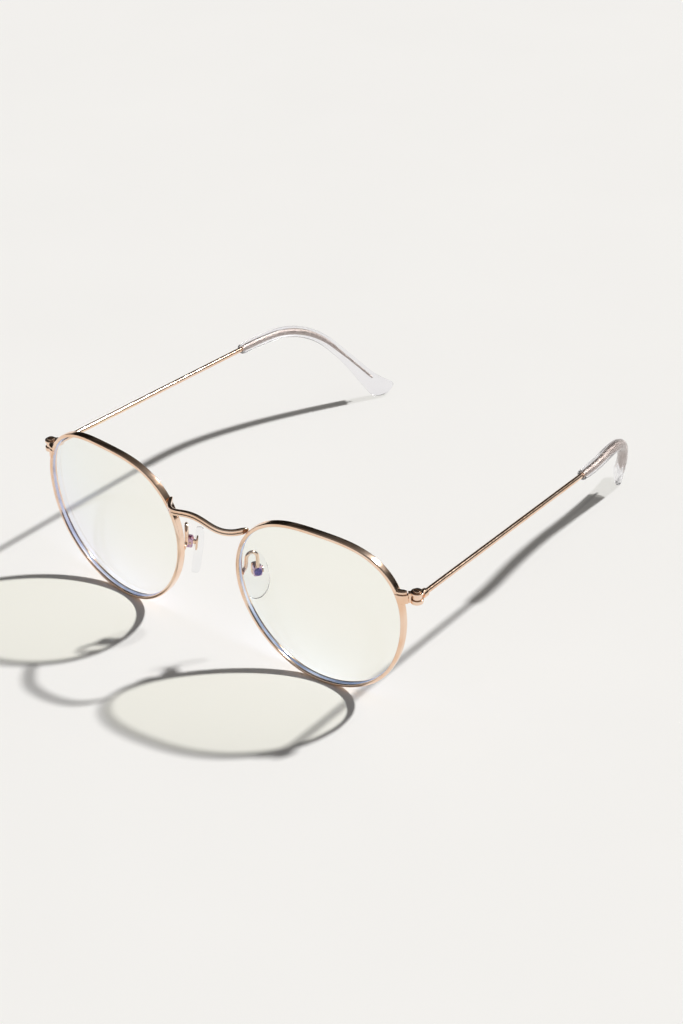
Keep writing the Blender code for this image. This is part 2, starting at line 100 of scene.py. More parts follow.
def linear(code: str) -> Colour:
    """Linear RGBA of an sRGB hex colour.

    Args:
        code: the colour as #RRGGBB.

    Returns:
        Red, green, blue and an alpha of 1.
    """
    shares = [int(code[start:start + 2], 16) / 255 for start in (1, 3, 5)]
    red, green, blue = (v / 12.92 if v <= 0.04045 else ((v + 0.055) / 1.055) ** 2.4 for v in shares)
    return red, green, blue, 1.0


def add_node(tree: bpy.types.NodeTree, kind: str, inputs: dict | None = None, **settings: object) -> bpy.types.Node:
    """A new node with its settings, and its sockets filled or linked.

    Args:
        tree: the node tree that takes it.
        kind: the node's type name.
        inputs: value or output socket for each named or numbered input.
        settings: the node's own properties.

    Returns:
        The node.
    """
    node = tree.nodes.new(kind)
    for key, value in settings.items():
        setattr(node, key, value)
    for key, value in (inputs or {}).items():
        if isinstance(value, bpy.types.NodeSocket):
            tree.links.new(value, node.inputs[key])
        else:
            node.inputs[key].default_value = value
    return node


def new_tree(name: str) -> tuple[bpy.types.Material, bpy.types.NodeTree, bpy.types.NodeSocket]:
    """An empty node material.

    Args:
        name: the material's name.

    Returns:
        The material, its tree and an output of Object coordinates, in metres.
    """
    material = bpy.data.materials.new(name)
    material.use_nodes = True
    tree = material.node_tree
    tree.nodes.clear()
    return material, tree, add_node(tree, "ShaderNodeTexCoord").outputs["Object"]


def grain(tree: bpy.types.NodeTree, place: bpy.types.NodeSocket, size: float,
          detail: float = 2.0) -> bpy.types.NodeSocket:
    """Soft noise whose lumps are about size millimetres across."""
    noise = add_node(tree, "ShaderNodeTexNoise", {"Vector": place, "Scale": 1.0 / (size * MM), "Detail": detail})
    return noise.outputs["Fac"]


def spread(tree: bpy.types.NodeTree, value: bpy.types.NodeSocket, low: float, high: float) -> bpy.types.NodeSocket:
    """Noise between 0.3 and 0.7 stretched to run from low to high."""
    return add_node(tree, "ShaderNodeMapRange", {"Value": value, "From Min": 0.3, "From Max": 0.7, "To Min": low,
                                                 "To Max": high}).outputs["Result"]


def blended(tree: bpy.types.NodeTree, share: bpy.types.NodeSocket, first: str, second: str) -> bpy.types.NodeSocket:
    """Colour between two hex colours by a share."""
    node = add_node(tree, "ShaderNodeMix", {"Factor": share, 6: linear(first), 7: linear(second)}, data_type="RGBA")
    return node.outputs[2]


@dataclass(frozen=True)
class ElectroplatedRoseGold:
    """Rose gold electroplated over polished nickel silver.

    The plating gives a near mirror that goes from pale peach, where it meets the white table, to brown, where it meets
    the dark room. Thickness of the gold varies by a few per cent over centimetres, and the polishing mop leaves a haze
    of fine lines, 0.05 mm apart in life and drawn 0.25 mm apart so that they show.
    """

    name: str = "electroplated_rose_gold"
    thin: str = "#F8DECA"
    thick: str = "#EFC9AB"
    cloud_size: float = 7.0
    haze_size: float = 0.9
    line_size: float = 0.25
    gloss: tuple[float, float] = (0.07, 0.15)

    def material(self) -> bpy.types.Material:
        """The finish as a node material."""
        material, tree, place = new_tree(self.name)
        colour = blended(tree, spread(tree, grain(tree, place, self.cloud_size), 0.0, 1.0), self.thin, self.thick)
        rough = spread(tree, grain(tree, place, self.haze_size), *self.gloss)
        bump = add_node(tree, "ShaderNodeBump", {"Height": grain(tree, place, self.line_size, 4.0), "Strength": 0.035,
                                                 "Distance": 0.05 * MM})
        shader = add_node(tree, "ShaderNodeBsdfPrincipled", {"Base Color": colour, "Metallic": 1.0, "Roughness": rough,
                                                             "Normal": bump.outputs["Normal"]})
        add_node(tree, "ShaderNodeOutputMaterial", {"Surface": shader.outputs["BSDF"]})
        return material


@dataclass(frozen=True)
class PlatedScrewSteel:
    """Stainless screw, turned and flash plated: greyer and a little rougher than the rims, with fine turning marks."""

    name: str = "turned_plated_steel"
    bright: str = "#E9CDB6"
    dull: str = "#C9A78E"
    mark_size: float = 0.2
    gloss: tuple[float, float] = (0.14, 0.26)

    def material(self) -> bpy.types.Material:
        """The finish as a node material."""
        material, tree, place = new_tree(self.name)
        marks = grain(tree, place, self.mark_size, 3.0)
        colour = blended(tree, spread(tree, marks, 0.0, 1.0), self.dull, self.bright)
        bump = add_node(tree, "ShaderNodeBump", {"Height": marks, "Strength": 0.08, "Distance": 0.05 * MM})
        shader = add_node(tree, "ShaderNodeBsdfPrincipled", {
            "Base Color": colour, "Metallic": 1.0, "Roughness": spread(tree, marks, *self.gloss),
            "Normal": bump.outputs["Normal"]})
        add_node(tree, "ShaderNodeOutputMaterial", {"Surface": shader.outputs["BSDF"]})
        return material


@dataclass(frozen=True)
class CoreSteel:
    """Bare nickel silver of the wire where the ear tip covers it: greyer than the plating and drawn, not polished."""

    name: str = "drawn_nickel_silver"
    bright: str = "#DDD4CF"
    dull: str = "#B9ABA4"
    grain_size: float = 0.8
    gloss: tuple[float, float] = (0.5, 0.65)

    def material(self) -> bpy.types.Material:
        """The finish as a node material."""
        material, tree, place = new_tree(self.name)
        cloud = spread(tree, grain(tree, place, self.grain_size), 0.0, 1.0)
        shader = add_node(tree, "ShaderNodeBsdfPrincipled", {
            "Base Color": blended(tree, cloud, self.dull, self.bright), "Metallic": 1.0,
            "Roughness": spread(tree, cloud, *self.gloss)})
        add_node(tree, "ShaderNodeOutputMaterial", {"Surface": shader.outputs["BSDF"]})
        return material


@dataclass(frozen=True)
class VioletReflectionSteel:
    """Steel of the pad boxes with a painted violet reflection: lilac to violet in blotches, standing in for the lens
    coat's violet light reflected on the metal behind the lens.
    """

    name: str
    light: str
    dark: str
    blotch_size: float = 0.7
    gloss: tuple[float, float] = (0.18, 0.34)

    def material(self) -> bpy.types.Material:
        """The finish as a node material."""
        material, tree, place = new_tree(self.name)
        blotch = spread(tree, grain(tree, place, self.blotch_size, 3.0), 0.0, 1.0)
        shader = add_node(tree, "ShaderNodeBsdfPrincipled", {
            "Base Color": blended(tree, blotch, self.dark, self.light), "Metallic": 1.0,
            "Roughness": spread(tree, grain(tree, place, self.blotch_size), *self.gloss)})
        add_node(tree, "ShaderNodeOutputMaterial", {"Surface": shader.outputs["BSDF"]})
        return material


@dataclass(frozen=True)
class CoatedLens:
    """Polished CR-39 plastic with a vacuum-deposited blue light coat.

    The coat turns a little blue and violet light back, so the lens lets through a faint yellow cast, and it lays a
    violet veil over anything dark behind it. The coat's thickness drifts over centimetres, which moves the veil
    between violet and blue. Each face reflects a few per cent head on and more at a glancing angle.
    """

    name: str = "blue_coated_lens"
    through: str = "#FEFEFA"
    violet: Colour = (0.85, 0.85, 1.35, 1.0)
    blue: Colour = (0.7, 0.95, 1.35, 1.0)
    head_on: float = 0.014
    glancing: float = 0.75
    drift_size: float = 28.0

    def material(self) -> bpy.types.Material:
        """The finish as a node material."""
        material, tree, place = new_tree(self.name)
        drift = spread(tree, grain(tree, place, self.drift_size, 0.0), 0.0, 1.0)
        veil = add_node(tree, "ShaderNodeMix", {"Factor": drift, 6: self.violet, 7: self.blue}, data_type="RGBA")
        facing = add_node(tree, "ShaderNodeLayerWeight", {"Blend": 0.5}).outputs["Facing"]
        rise = add_node(tree, "ShaderNodeMath", {0: facing, 1: 4.0}, operation="POWER").outputs["Value"]
        share = add_node(tree, "ShaderNodeMapRange", {"Value": rise, "To Min": self.head_on, "To Max": self.glancing})
        clear = add_node(tree, "ShaderNodeBsdfTransparent", {"Color": linear(self.through)})
        gloss = add_node(tree, "ShaderNodeBsdfGlossy", {"Color": veil.outputs[2], "Roughness": 0.015})
        mixed = add_node(tree, "ShaderNodeMixShader", {0: share.outputs["Result"], 1: clear.outputs["BSDF"],
                                                       2: gloss.outputs["BSDF"]})
        add_node(tree, "ShaderNodeOutputMaterial", {"Surface": mixed.outputs["Shader"]})
        return material


@dataclass(frozen=True)
class LensBevel:
    """Ground and buffed edge of the lens, with a painted blue reflection: its pale blue colour and faint emission
    stand in for the coat's blue light reflected inside the lens, so it shows as a pale blue glowing line.
    """

    name: str = "buffed_lens_bevel"
    pale: str = "#E9F2FF"
    deep: str = "#B0D0FF"
    cloud_size: float = 9.0
    cover: tuple[float, float] = (0.3, 0.75)

    def material(self) -> bpy.types.Material:
        """The finish as a node material."""
        material, tree, place = new_tree(self.name)
        cloud = grain(tree, place, self.cloud_size)
        colour = blended(tree, spread(tree, cloud, 0.0, 1.0), self.deep, self.pale)
        # Painted reflection and glow: the pale blue base colour and its emission stand in for the coat's light
        # reflected in the lens edge.
        body = add_node(tree, "ShaderNodeBsdfPrincipled", {
            "Base Color": colour, "Roughness": 0.3, "Emission Color": colour, "Emission Strength": 0.3})
        clear = add_node(tree, "ShaderNodeBsdfTransparent", {"Color": linear("#F4F8FF")})
        mixed = add_node(tree, "ShaderNodeMixShader", {0: spread(tree, cloud, *self.cover), 1: clear.outputs["BSDF"],
                                                       2: body.outputs["BSDF"]})
        add_node(tree, "ShaderNodeOutputMaterial", {"Surface": mixed.outputs["Shader"]})
        return material


@dataclass(frozen=True)
class ClearMoulding:
    """Clear plastic moulded over metal: bends what is behind it, with dark rims where it turns away.

    Its flow lines are shallow swells a few millimetres long. Light rays pass straight on to the table, dimmed, so that
    its shadow is pale grey.
    """

    name: str
    tint: str
    ior: float
    roughness: float
    swell_size: float
    shadow: str
    swell: float = 0.05

    def material(self) -> bpy.types.Material:
        """The finish as a node material."""
        material, tree, place = new_tree(self.name)
        bump = add_node(tree, "ShaderNodeBump", {"Height": grain(tree, place, self.swell_size, 1.0),
                                                 "Strength": self.swell, "Distance": 0.2 * MM})
        cloud = grain(tree, place, self.swell_size * 3)
        body = add_node(tree, "ShaderNodeBsdfPrincipled", {
            "Base Color": blended(tree, cloud, self.tint, "#FFFFFF"), "Transmission Weight": 1.0, "IOR": self.ior,
            "Roughness": self.roughness, "Normal": bump.outputs["Normal"]})
        clear = add_node(tree, "ShaderNodeBsdfTransparent", {"Color": linear(self.shadow)})
        path = add_node(tree, "ShaderNodeLightPath")
        straight = add_node(tree, "ShaderNodeMath", {0: path.outputs["Is Shadow Ray"],
                                                     1: path.outputs["Is Diffuse Ray"]}, operation="MAXIMUM")
        mixed = add_node(tree, "ShaderNodeMixShader", {0: straight.outputs["Value"], 1: body.outputs["BSDF"],
                                                       2: clear.outputs["BSDF"]})
        add_node(tree, "ShaderNodeOutputMaterial", {"Surface": mixed.outputs["Shader"]})
        return material


@dataclass(frozen=True)
class PaintedBoard:
    """Matt white painted board under the glasses, with a roller's faint unevenness."""

    name: str = "matt_painted_board"
    bright: str = "#F6F5F3"
    dull: str = "#F3F2F0"

    def material(self) -> bpy.types.Material:
        """The finish as a node material."""
        material, tree, place = new_tree(self.name)
        colour = blended(tree, grain(tree, place, 60.0), self.dull, self.bright)
        shader = add_node(tree, "ShaderNodeBsdfPrincipled", {"Base Color": colour, "Roughness": 0.9,
                                                             "Specular IOR Level": 0.15})
        add_node(tree, "ShaderNodeOutputMaterial", {"Surface": shader.outputs["BSDF"]})
        return material


# ------------------------------------------------------------------- shapes


def turned_by(axis: int, angle: float) -> Array:
    """Rotation matrix about a coordinate axis, 0 for x, 1 for y and 2 for z."""
    first, second = (axis + 1) % 3, (axis + 2) % 3
    matrix = np.eye(3)
    matrix[first, first] = matrix[second, second] = math.cos(angle)
    matrix[second, first], matrix[first, second] = math.sin(angle), -math.sin(angle)
    return matrix


def unit(vectors: Array) -> Array:
    """The vectors with length 1."""
    return vectors / np.linalg.norm(vectors, axis=-1, keepdims=True)


def rounded(corners: Array, radii: Array, steps: int) -> Array:
    """A closed outline with each corner replaced by a parabolic round.

    The round runs from a point one radius before the corner to a point one radius after it: (1-t)^2 times the first,
    plus 2t(1-t) times the corner, plus t^2 times the last.

    Args:
        corners: the outline's corners, one a row.
        radii: how far each round reaches from its corner.
        steps: points on each round.

    Returns:
        The outline's points, one a row.
    """
    before, after = np.roll(corners, 1, 0) - corners, np.roll(corners, -1, 0) - corners
    start = corners + unit(before) * radii[:, None]
    end = corners + unit(after) * radii[:, None]
    t = np.linspace(0, 1, steps)[None, :, None]
    points = (1 - t) ** 2 * start[:, None] + 2 * t * (1 - t) * corners[:, None] + t**2 * end[:, None]
    return points.reshape(-1, corners.shape[1])


def smooth_line(knots: Array, count: int) -> Array:
    """A smooth line through the knots: Catmull-Rom cubics, with a knot carried straight on past each end.

    Args:
        knots: points to pass through, one a row.
        count: number of points wanted.

    Returns:
        The line's points, one a row.
    """
    padded = np.vstack([2 * knots[:1] - knots[1:2], knots, 2 * knots[-1:] - knots[-2:-1]])
    place = np.linspace(0, len(knots) - 1 - 1e-9, count)
    index = place.astype(int)
    t = (place - index)[:, None]
    a, b, c, d = (padded[index + step] for step in range(4))
    return 0.5 * (2 * b + (c - a) * t + (2 * a - 5 * b + 4 * c - d) * t**2 + (3 * b - a - 3 * c + d) * t**3)


def carried(path: Array, profile: Array, reference: Array) -> Array:
    """A profile carried along a path.

    At each point of the path the profile's first number goes along the reference, made square to the path, and its
    second along the direction square to both.

    Args:
        path: points, one a row.
        profile: outline points (m x 2), or one outline for each point of the path (n x m x 2).
        reference: a direction, or one for each point of the path.

    Returns:
        Grid of points, n x m x 3.
    """
    way = unit(np.gradient(path, axis=0))
    first = unit(reference - np.sum(way * reference, axis=-1, keepdims=True) * way)
    second = np.cross(way, first)
    return path[:, None] + first[:, None] * profile[..., 0, None] + second[:, None] * profile[..., 1, None]


def round_section(radius: float, sides: int) -> Array:
    """A circle's points, radius times (cos, sin)."""
    angle = np.arange(sides) * FULL_TURN / sides
    return radius * np.stack([np.cos(angle), np.sin(angle)], -1)


def domed_end(path: Array, radius: float) -> tuple[Array, Array]:
    """A path lengthened by a dome at its end, with the radius that goes with each of its points.

    The dome is a quarter circle: radius r sin t at distance r cos t past the end.

    Args:
        path: points, one a row.
        radius: the bar's radius.

    Returns:
        The longer path and its radii.
    """
    rise = np.sin(np.linspace(0.12, 1.0, 8) * math.pi / 2)[:-1][::-1]
    way = unit(path[-1:] - path[-2:-1])
    dome = path[-1:] + way * radius * np.sqrt(1 - rise[:, None] ** 2)
    return np.vstack([path, dome]), np.concatenate([np.full(len(path), radius), radius * rise])


def pillow(low: tuple[float, float, float], high: tuple[float, float, float], power: float, rows: int = 26,
           columns: int = 64) -> Array:
    """A block with softly rounded edges and faintly crowned faces, as tumbling leaves it.

    It is a superellipsoid: |x/a|^p + |y/b|^p = 1 round each level, and the same rule between level and width up it.

    Args:
        low: lowest corner.
        high: highest corner.
        power: p, higher for squarer edges.
        rows: levels.
        columns: points round each level.

    Returns:
        Grid of points, rows x columns x 3.
    """
    middle = (np.array(low) + np.array(high)) / 2
    a, b, c = (np.array(high) - np.array(low)) / 2
    rise = np.linspace(-0.485, 0.485, rows)[:, None] * math.pi
    reach = (np.abs(np.cos(rise)) ** power + np.abs(np.sin(rise)) ** power) ** (-1 / power)
    angle = np.linspace(0, FULL_TURN, columns, endpoint=False)[None]
    width = (np.abs(np.cos(angle) / a) ** power + np.abs(np.sin(angle) / b) ** power) ** (-1 / power)
    level = reach * np.sin(rise) * c + 0 * angle
    side = reach * np.cos(rise) * width
    return middle + np.stack([side * np.cos(angle), side * np.sin(angle), level], -1)


def prism(plan: tuple[tuple[float, float], ...], low: float, high: float, reach: float, ease: float) -> Array:
    """A block over an outline seen from above, with rounded corners and eased top and bottom edges.

    The easing is a quarter circle: inset ease (1 - sin t) at height ease (1 - cos t) from the end.

    Args:
        plan: the outline's corners, anticlockwise.
        low: level of its foot.
        high: level of its top.
        reach: how far each corner's round reaches.
        ease: radius of the eased edges.

    Returns:
        Grid of points, rows x columns x 3.
    """
    line = rounded(np.array(plan), np.full(len(plan), reach), 8)
    way = unit(np.roll(line, -1, 0) - np.roll(line, 1, 0))
    inward = np.stack([-way[:, 1], way[:, 0]], -1)
    turn = np.linspace(0, math.pi / 2, 8)
    inset = ease * (1 - np.sin(turn))
    rise = ease * (1 - np.cos(turn))
    inset, level = np.concatenate([inset, inset[::-1]]), np.concatenate([low + rise, high - rise[::-1]])
    flat = line[None] + inward[None] * inset[:, None, None]
    return np.concatenate([flat, np.broadcast_to(level[:, None, None], flat.shape[:2] + (1,))], -1)


def lathe(profile: Array, base: Array, axis: Array, columns: int = 48) -> Array:
    """A turned shape: each (radius, height) of the profile swept once round the axis.

    Args:
        profile: radius and height of each row.
        base: the point of the axis at height 0.
        axis: direction of the axis.
        columns: points round it.

    Returns:
        Grid of points, rows x columns x 3.
    """
    axis = unit(np.asarray(axis, float))
    side = unit(np.cross(axis, (0.31, 0.83, 0.46)))
    other = np.cross(axis, side)
    angle = np.arange(columns)[None, :, None] * FULL_TURN / columns
    radius, height = profile[:, 0, None, None], profile[:, 1, None, None]
    return base + axis * height + radius * (side * np.cos(angle) + other * np.sin(angle))


def barrel(radius: float, low: float, high: float, edge: float) -> Array:
    """Profile of a cylinder with eased edges, from the middle of its foot to the middle of its top.

    Args:
        radius: its radius.
        low: height of its foot.
        high: height of its top.
        edge: how far the edges are eased.

    Returns:
        (radius, height) rows.
    """
    steps = 7
    corners = np.array([(FAN_RADIUS, low), (radius, low), (radius, high), (FAN_RADIUS, high)])
    # The two corners at the axis aren't rounded, so all but one of the points of their rounds are dropped.
    return rounded(corners, np.array([0.0, edge, edge, 0.0]), steps)[steps - 1:1 - steps]


def half_moon(radius: float, slot: float, low: float, high: float, edge: float) -> Array:
    """One half of a slotted screw head: a circle cut off along a line, raised from low to high with an eased top.

    Args:
        radius: the head's radius.
        slot: half the slot's width.
        low: level of the slot's floor.
        high: level of the head's top.
        edge: how far the top edge is eased.

    Returns:
        Grid of (x, y, z), rows x columns x 3, for the half with y above the slot.
    """
    reach = math.acos(slot / radius)
    arc = np.linspace(math.pi / 2 - reach, math.pi / 2 + reach, 40)
    outline = np.stack([radius * np.cos(arc), radius * np.sin(arc)], -1)
    chord = np.linspace(outline[-1], outline[0], 14)[1:-1]
    outline = np.vstack([outline, chord])
    middle = outline.mean(0)
    turn = np.linspace(0, 1, 6) * math.pi / 2
    level = np.concatenate([[low], high - edge + edge * np.sin(turn)])
    inset = np.concatenate([[0.0], edge * (1 - np.cos(turn))])
    shrink = 1 - inset[:, None, None] / (radius * 0.6)
    flat = middle + (outline - middle)[None] * shrink
    return np.concatenate([flat, np.broadcast_to(level[:, None, None], flat.shape[:2] + (1,))], -1)


@dataclass(frozen=True)
class Patch:
    """One closed surface: a grid joined round its columns, with a fan over the first and last row.

    Attributes:
        grid: points in the face frame, rows x columns x 3, in millimetres.
        bands: material number of each band between rows, or None for all 0.
    """

    grid: Array
    bands: Array | None = None

    def parts(self, mirror: int) -> tuple[Array, Array, Array, Array]:
        """The surface on one side of the face, facing outwards.

        Args:
            mirror: 1 for the left side, -1 for the right.

        Returns:
            Vertices, quads, triangles, and the material number of every face in that order.
        """
        rows, columns = self.grid.shape[:2]
        points = self.grid.reshape(-1, 3)
        caps = np.stack([self.grid[0].mean(0), self.grid[-1].mean(0)])
        points = np.vstack([points, caps]) * (mirror, 1, 1)
        index = np.arange(rows * columns).reshape(rows, columns)
        near, far = index[:-1], index[1:]
        quads = np.stack([near, np.roll(near, -1, 1), np.roll(far, -1, 1), far], -1).reshape(-1, 4)
        first, last = index[0], index[-1]
        start, end = np.full(columns, rows * columns), np.full(columns, rows * columns + 1)
        triangles = np.vstack([np.stack([start, np.roll(first, -1), first], -1),
                               np.stack([end, last, np.roll(last, -1)], -1)])
        bands = np.zeros(rows - 1, int) if self.bands is None else self.bands
        numbers = np.concatenate([np.repeat(bands, columns), np.repeat(bands[[0, -1]], columns)])
        faces = np.vstack([quads[:, :3], quads[:, [0, 2, 3]], triangles])
        a, b, c = (points[faces[:, corner]] - points[0] for corner in range(3))
        if np.sum(a * np.cross(b, c)) < 0:
            quads, triangles = quads[:, ::-1], triangles[:, ::-1]
        return points, quads, triangles, numbers


@dataclass
class Bench:
    """Where the pieces are put together: it ties the face frame to the row frame and dresses every piece.

    Attributes:
        shift: from the face frame to the row frame, in millimetres.
        finishes: material for each name.
        made: names of the finished pieces.
    """

    shift: Array
    finishes: dict[str, bpy.types.Material]
    made: list[str] = field(default_factory=list)

    def piece(self, name: str, patches: list[Patch], side: Side, dress: tuple[str, ...], body: str,
              nodes: tuple[str, ...]) -> None:
        """One finished piece, riding on its body in place of its plain solids.

        Args:
            name: the piece's name.
            patches: its surfaces, drawn for the left side.
            side: which side it is for.
            dress: names of the finishes, by material number.
            body: the body that it moves with.
            nodes: the plain solids that it stands for.
        """
        parts = [patch.parts(side.value) for patch in patches]
        starts = np.cumsum([0] + [len(part[0]) for part in parts[:-1]])
        points = (np.vstack([part[0] for part in parts]) + self.shift) * MM
        quads = np.vstack([part[1] + start for part, start in zip(parts, starts)])
        triangles = np.vstack([part[2] + start for part, start in zip(parts, starts)])
        counts = [len(part[1]) for part in parts]
        numbers = np.concatenate([part[3][:count] for part, count in zip(parts, counts)]
                                 + [part[3][count:] for part, count in zip(parts, counts)])
        mesh = bpy.data.meshes.new(name)
        mesh.vertices.add(len(points))
        mesh.vertices.foreach_set("co", points.astype(np.float32).ravel())
        mesh.loops.add(quads.size + triangles.size)
        mesh.loops.foreach_set("vertex_index", np.concatenate([quads.ravel(), triangles.ravel()]).astype(np.int32))
        mesh.polygons.add(len(quads) + len(triangles))
        mesh.polygons.foreach_set("loop_start", np.concatenate([
            np.arange(len(quads)) * 4, quads.size + np.arange(len(triangles)) * 3]).astype(np.int32))
        mesh.polygons.foreach_set("material_index", numbers.astype(np.int32))
        mesh.update(calc_edges=True)
        mesh.validate()
        mesh.shade_smooth()
        mesh.set_sharp_from_angle(angle=SHARP_FROM)
        for finish in dress:
            mesh.materials.append(self.finishes[finish])
        obj = bpy.data.objects.new(name, mesh)
        bpy.context.scene.collection.objects.link(obj)
        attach(obj, body)
        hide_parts(*nodes)
        self.made.append(name)
        LOG.info("%s: %d faces on %s", name, len(mesh.polygons), body)

    def pair(self, stem: str, patches: list[Patch], dress: tuple[str, ...], body: str) -> None:
        """The same piece on both sides.

        Args:
            stem: the pieces' name without the side.
            patches: surfaces of the left one.
            dress: names of the finishes.
            body: the body's name, with {} where the side goes.
        """
        for side in Side:
            name = f"{stem}_{side.suffix}"
            self.piece(f"fine_{name}", patches, side, dress, body.format(side.suffix), (name,))


# ------------------------------------------------------------- sub-assemblies


@dataclass(frozen=True)
class EyeShape:
    """The eye's outline and how it sits on the face.

    The outline's radius is a mean plus a few waves: for each (n, c, s) it adds c cos(n angle) + s sin(n angle). The
    lens surface bows forward as a sphere. The whole eye is tilted top forward, turned outer end back, then placed.
    """

    centre: tuple[float, float, float] = (35.4, 1.5, 25.65)
    mean: float = 25.53
    waves: tuple[tuple[int, float, float], ...] = (
        (2, 0.46, 0.04), (3, -0.13, 1.0), (4, -0.34, 0.0), (5, -0.10, -0.08))
    wrap: float = math.radians(5.3)
    tilt: float = math.radians(3.9)
    bow_radius: float = 140.0
    bow_reference: float = 25.7

    def radius(self, angle: Array) -> Array:
        """Outer radius of the rim at each angle from the outward axis towards up."""
        return self.mean + sum(c * np.cos(n * angle) + s * np.sin(n * angle) for n, c, s in self.waves)

    def matrix(self) -> Array:
        """Rotation from the eye's own frame, x outward, y up and z forward, to the face."""
        return turned_by(2, self.wrap) @ turned_by(0, math.pi / 2 + self.tilt)

    def points(self, angle: Array, inset: Array, forward: Array, share: Array | float = 1.0) -> Array:
        """Points of the face frame.

        Args:
            angle: angle round the outline.
            inset: distance in from the outline.
            forward: distance in front of the bowed middle surface.
            share: share of that radius, 1 for the whole.

        Returns:
            Points with the arguments' common shape, and 3 coordinates.
        """
        radius = (self.radius(angle) - inset) * share
        height = (self.bow_reference**2 - radius**2) / (2 * self.bow_radius) + forward
        local = np.stack(np.broadcast_arrays(radius * np.cos(angle), radius * np.sin(angle), height), -1)
        return local @ self.matrix().T + np.array(self.centre)

    def kept_outside(self, grid: Array, inset: float) -> Array:
        """The grid with every point that lies within the outline pushed out to it, inset from the outer edge.

        Args:
            grid: points of the face frame.
            inset: how far in from the rim's outer edge a point may be.

        Returns:
            The pushed grid.
        """
        local = (grid - np.array(self.centre)) @ self.matrix()
        radius = np.hypot(local[..., 0], local[..., 1])
        limit = self.radius(np.arctan2(local[..., 1], local[..., 0])) - inset
        scale = np.maximum(1.0, limit / np.maximum(radius, 1e-6))[..., None]
        local = np.concatenate([local[..., :2] * scale, local[..., 2:]], -1)
        return local @ self.matrix().T + np.array(self.centre)


@dataclass(frozen=True)
class Rims:
    """Eyewires: a soft-edged flat wire with a V groove inside, open at a slit in the closing block."""

    shape: EyeShape
    width: float = 1.0
    depth: float = 2.0
    groove: float = 0.45
    seam_level: float = 38.0
    seam: float = 0.16
    stations: int = 560

    def profile(self) -> Array:
        """Rows of (inset, forward) round the wire's section."""
        half = self.depth / 2
        corners = np.array([(0, -half), (0, half), (self.width, half), (self.width, self.groove),
                            (self.width - self.groove, 0), (self.width, -self.groove), (self.width, -half)])
        return rounded(corners, np.array([0.32, 0.34, 0.22, 0.05, 0.08, 0.05, 0.22]), 7)

    def slit_angle(self, inset: Array, forward: Array, level: float) -> Array:
        """Angle at which each line of the section reaches a level on the temple side, by halving."""
        low, high = np.full(inset.shape, 0.1), np.full(inset.shape, 1.0)
        for _ in range(40):
            middle = (low + high) / 2
            above = self.shape.points(middle, inset, forward)[..., 2] > level
            low, high = np.where(above, low, middle), np.where(above, middle, high)
        return low

    def build(self, bench: Bench) -> None:
        """Makes both rims."""
        inset, forward = self.profile().T
        start = self.slit_angle(inset, forward, self.seam_level + self.seam / 2)
        end = self.slit_angle(inset, forward, self.seam_level - self.seam / 2) + FULL_TURN
        share = np.linspace(0, 1, self.stations)[:, None]
        grid = self.shape.points(start + (end - start) * share, inset, forward)
        bench.pair("rim", [Patch(grid)], ("rose_gold",), "front")


@dataclass(frozen=True)
class Lenses:
    """Bowed lenses, 1.6 mm thick, with a V bevel that stands in the rim's groove."""

    shape: EyeShape
    edge_inset: float = 1.08
    bevel_inset: float = 0.65
    thick: float = 1.6
    shoulder: float = 0.4
    ease: float = 0.08
    face_rows: int = 22
    columns: int = 288

    def build(self, bench: Bench) -> None:
        """Makes both lenses. A row is (inset, forward, share of the radius), from the front's middle to the back's."""
        half = self.thick / 2
        face = np.linspace(0.02, 0.99, self.face_rows)
        front = [(self.edge_inset + self.ease, half, share) for share in face]
        edge = [(self.edge_inset + self.ease, half), (self.edge_inset, half - self.ease),
                (self.edge_inset, self.shoulder), (self.bevel_inset, 0.0), (self.edge_inset, -self.shoulder),
                (self.edge_inset, -half + self.ease), (self.edge_inset + self.ease, -half)]
        back = [(inset, -forward, share) for inset, forward, share in reversed(front)]
        rows = np.array(front + [(inset, forward, 1.0) for inset, forward in edge] + back)
        angle = np.linspace(0, FULL_TURN, self.columns, endpoint=False)[None]
        grid = self.shape.points(angle, rows[:, :1], rows[:, 1:2], rows[:, 2:])
        bands = np.zeros(len(rows) - 1, int)
        tip = len(front) + 3  # the row along the V's tip: the bevel is the band on each side of it
        bands[tip - 1:tip + 1] = 1
        bench.pair("lens", [Patch(grid, bands)], ("lens", "lens_bevel"), "front")


